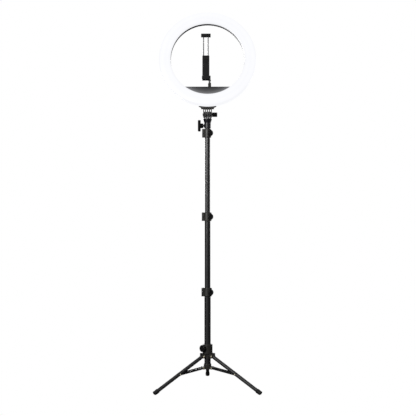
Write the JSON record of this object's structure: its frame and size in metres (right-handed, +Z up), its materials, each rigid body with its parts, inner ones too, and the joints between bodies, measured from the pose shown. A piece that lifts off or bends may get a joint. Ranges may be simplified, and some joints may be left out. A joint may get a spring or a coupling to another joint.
{
  "type": "ring light",
  "caption": "Ring light with a tablet holder on a tilting head, on a telescopic stand with folding braced legs and clamp collars.",
  "frame": {"origin": "on the floor, at the middle of the whole object's bounding box; the pole's axis is 71.6 mm in front of it", "axes": "+Z up, -Y the side that the ring lights, +X to the right of a person facing the light"},
  "size_m": [0.5232, 0.4558, 1.877],
  "materials": {
    "black_tube": "satin black powder coat",
    "black_strip": "satin black paint",
    "black_nylon": "fine textured glass-filled nylon",
    "cast_black": "satin black over a casting",
    "knob_black": "moulded black, fine texture",
    "rivet_brass": "pale brass plate",
    "rubber_black": "matte moulded rubber",
    "pad_rubber": "soft matte rubber",
    "glide_plastic": "self-coloured acetal",
    "bright_steel": "bright plated steel",
    "screw_steel": "blackened steel",
    "diffuser_white": "opal acrylic, lit from inside",
    "housing_black": "fine textured ABS",
    "panel_grey": "satin dark grey ABS",
    "holder_black": "moulded black, satin",
    "board_white": "white solder mask",
    "board_green": "green solder mask",
    "led_chip": "phosphor",
    "component_metal": "plated"
  },
  "bodies": {
    "root": {"base_casting": "black_nylon", "base_pivot_rivets": "rivet_brass", "pole_section_1": "black_tube", "collar_1": "black_nylon"},
    "leg_collar": {"leg_casting": "black_nylon", "leg_pivot_rivets": "rivet_brass"},
    "leg_lock": {"leg_lock_knob": "knob_black"},
    "leg_front_left": {"leg_front_left": "black_tube", "foot_front_left": "rubber_black"},
    "leg_front_right": {"leg_front_right": "black_tube", "foot_front_right": "rubber_black"},
    "leg_rear": {"leg_rear": "black_tube", "foot_rear": "rubber_black"},
    "brace_front_left": {"brace_front_left": "black_strip", "brace_rivets_front_left": "rivet_brass"},
    "brace_front_right": {"brace_front_right": "black_strip", "brace_rivets_front_right": "rivet_brass"},
    "brace_rear": {"brace_rear": "black_strip", "brace_rivets_rear": "rivet_brass"},
    "section_2": {"pole_section_2": "black_tube", "collar_2": "black_nylon", "glide_2": "glide_plastic"},
    "section_3": {"pole_section_3": "black_tube", "collar_3": "black_nylon", "glide_3": "glide_plastic"},
    "section_4": {"pole_section_4": "black_tube", "glide_4": "glide_plastic", "spigot": "cast_black"},
    "collar_1_lock": {"collar_1_knob": "knob_black"},
    "collar_2_lock": {"collar_2_knob": "knob_black"},
    "collar_3_lock": {"collar_3_knob": "knob_black"},
    "head_socket": {"tilt_socket": "cast_black"},
    "socket_lock": {"t_handle_screw": "knob_black"},
    "head": {"tilt_bracket": "black_nylon", "bracket_screws": "screw_steel", "tilt_bolt": "bright_steel", "front_diffuser": "diffuser_white", "rear_housing": "housing_black", "led_boards": "board_white", "leds": "led_chip", "housing_screws": "screw_steel", "control_panel": "panel_grey", "control_box_cover": "housing_black", "box_screws": "screw_steel", "driver_board": "board_green", "potentiometers": "component_metal", "dc_inlet": "component_metal", "holder_base": "black_nylon"},
    "tilt_lock": {"tilt_knob": "knob_black"},
    "dimmer": {"dimmer_knob": "knob_black"},
    "colour": {"colour_knob": "knob_black"},
    "power": {"power_button": "knob_black"},
    "holder_post": {"holder_stem": "cast_black"},
    "holder": {"holder_frame": "holder_black", "lower_jaw_pad": "pad_rubber", "knuckle_screw": "bright_steel"},
    "jaw": {"upper_jaw": "holder_black", "upper_jaw_pad": "pad_rubber", "guide_rods": "bright_steel"},
    "holder_lock": {"holder_lock_knob": "knob_black"}
  },
  "joints": [
    {"name": "leg_fold", "type": "slide", "parent": "root", "child": "leg_collar", "axis": [0, 0, 1], "range_m": [0, 0.2224]},
    {"name": "leg_lock_turn", "type": "hinge", "parent": "leg_collar", "child": "leg_lock", "pos_m": [0, -0.07155, 0.1995], "axis": [-0.7071, -0.7071, 0], "range_deg": [0, 540]},
    {"name": "leg_front_left_pivot", "type": "hinge", "parent": "leg_collar", "child": "leg_front_left", "pos_m": [-0.02425, -0.08555, 0.159], "axis": [0.5, -0.866, 0], "range_deg": [0, 54.2]},
    {"name": "brace_front_left_pivot", "type": "hinge", "parent": "root", "child": "brace_front_left", "pos_m": [-0.02425, -0.08555, 0.102], "axis": [-0.5, 0.866, 0], "range_deg": [0, 91.32]},
    {"name": "leg_front_right_pivot", "type": "hinge", "parent": "leg_collar", "child": "leg_front_right", "pos_m": [0.02425, -0.08555, 0.159], "axis": [0.5, 0.866, 0], "range_deg": [0, 54.2]},
    {"name": "brace_front_right_pivot", "type": "hinge", "parent": "root", "child": "brace_front_right", "pos_m": [0.02425, -0.08555, 0.102], "axis": [-0.5, -0.866, 0], "range_deg": [0, 91.32]},
    {"name": "leg_rear_pivot", "type": "hinge", "parent": "leg_collar", "child": "leg_rear", "pos_m": [0, -0.04355, 0.159], "axis": [-1, 0, 0], "range_deg": [0, 54.2]},
    {"name": "brace_rear_pivot", "type": "hinge", "parent": "root", "child": "brace_rear", "pos_m": [0, -0.04355, 0.102], "axis": [1, 0, 0], "range_deg": [0, 91.32]},
    {"name": "section_2_slide", "type": "slide", "parent": "root", "child": "section_2", "axis": [0, 0, 1], "range_m": [-0.328, 0]},
    {"name": "collar_1_turn", "type": "hinge", "parent": "root", "child": "collar_1_lock", "pos_m": [0, -0.07155, 0.475], "axis": [0.6018, -0.7986, 0], "range_deg": [0, 540]},
    {"name": "section_3_slide", "type": "slide", "parent": "section_2", "child": "section_3", "axis": [0, 0, 1], "range_m": [-0.366, 0]},
    {"name": "collar_2_turn", "type": "hinge", "parent": "section_2", "child": "collar_2_lock", "pos_m": [0, -0.07155, 0.848], "axis": [0.6018, -0.7986, 0], "range_deg": [0, 540]},
    {"name": "section_4_slide", "type": "slide", "parent": "section_3", "child": "section_4", "axis": [0, 0, 1], "range_m": [0, 0.36]},
    {"name": "collar_3_turn", "type": "hinge", "parent": "section_3", "child": "collar_3_lock", "pos_m": [0, -0.07155, 1.261], "axis": [0.6018, -0.7986, 0], "range_deg": [0, 540]},
    {"name": "head_pan", "type": "hinge", "parent": "section_4", "child": "head_socket", "pos_m": [0, -0.07155, 1.286], "axis": [0, 0, 1], "continuous": true},
    {"name": "socket_lock_turn", "type": "hinge", "parent": "head_socket", "child": "socket_lock", "pos_m": [-0.041, -0.07155, 1.298], "axis": [-1, 0, 0], "range_deg": [0, 540]},
    {"name": "head_tilt", "type": "hinge", "parent": "head_socket", "child": "head", "pos_m": [0, -0.07155, 1.353], "axis": [1, 0, 0], "range_deg": [-80, 100]},
    {"name": "tilt_lock_turn", "type": "hinge", "parent": "head", "child": "tilt_lock", "pos_m": [0.03, -0.07155, 1.353], "axis": [1, 0, 0], "range_deg": [0, 540]},
    {"name": "dimmer_turn", "type": "hinge", "parent": "head", "child": "dimmer", "pos_m": [-0.052, -0.02256, 1.45809], "axis": [0, 0.9848, -0.1736], "range_deg": [-140, 140]},
    {"name": "colour_turn", "type": "hinge", "parent": "head", "child": "colour", "pos_m": [0.052, -0.02256, 1.45809], "axis": [0, 0.9848, -0.1736], "range_deg": [-140, 140]},
    {"name": "power_press", "type": "slide", "parent": "head", "child": "power", "axis": [0, -0.9848, 0.1736], "range_m": [0, 0.0015], "stiffness_N_per_m": 600},
    {"name": "holder_pan", "type": "hinge", "parent": "head", "child": "holder_post", "pos_m": [0.01, -0.04574, 1.51092], "axis": [0, 0.1736, 0.9848], "range_deg": [-180, 180]},
    {"name": "holder_tilt", "type": "hinge", "parent": "holder_post", "child": "holder", "pos_m": [0.01, -0.04296, 1.52667], "axis": [1, 0, 0], "range_deg": [-35, 35]},
    {"name": "jaw_slide", "type": "slide", "parent": "holder", "child": "jaw", "axis": [0, 0.1736, 0.9848], "range_m": [-0.075, 0.01]},
    {"name": "holder_lock_turn", "type": "hinge", "parent": "head", "child": "holder_lock", "pos_m": [0.01, -0.03488, 1.50342], "axis": [0, 0.9848, -0.1736], "range_deg": [0, 360]}
  ],
  "couplings": [
    {"joint": "leg_front_left_pivot", "follows": "leg_fold", "rad_per_m": 4.2378},
    {"joint": "brace_front_left_pivot", "follows": "leg_fold", "rad_per_m": 7.1432},
    {"joint": "leg_front_right_pivot", "follows": "leg_fold", "rad_per_m": 4.2378},
    {"joint": "brace_front_right_pivot", "follows": "leg_fold", "rad_per_m": 7.1432},
    {"joint": "leg_rear_pivot", "follows": "leg_fold", "rad_per_m": 4.2378},
    {"joint": "brace_rear_pivot", "follows": "leg_fold", "rad_per_m": 7.1432}
  ]
}
